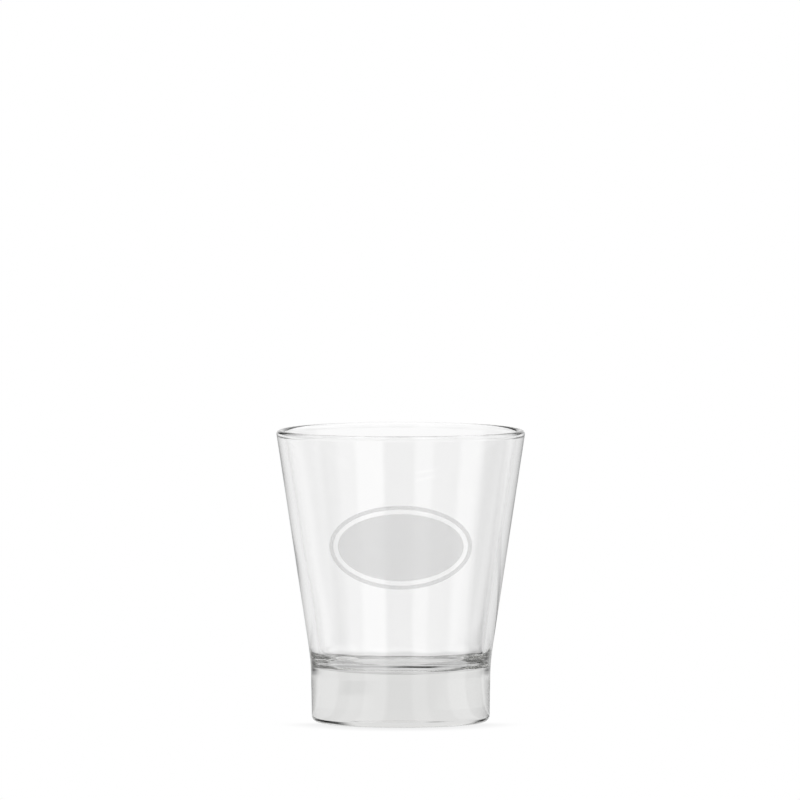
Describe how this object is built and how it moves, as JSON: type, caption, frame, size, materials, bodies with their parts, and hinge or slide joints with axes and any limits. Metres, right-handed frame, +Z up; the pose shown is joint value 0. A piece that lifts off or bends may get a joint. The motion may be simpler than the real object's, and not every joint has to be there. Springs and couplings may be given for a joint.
{
  "type": "espresso glass",
  "caption": "Small conical espresso glass of clear thick-walled glass, with a rounded lip, a solid heavy foot and a plain satin oval printed on its front.",
  "frame": {"origin": "middle of the resting plane under the foot", "axes": "+Z up along the axis of the turned glass, -Y towards the printed front"},
  "size_m": [0.056, 0.056, 0.066],
  "materials": {
    "clear_glass": "clear, fire-polished",
    "satin_enamel": "satin, fired-on frost"
  },
  "bodies": {
    "root": {"glass_body": "clear_glass", "satin_line": "satin_enamel", "satin_field": "satin_enamel"}
  },
  "joints": []
}
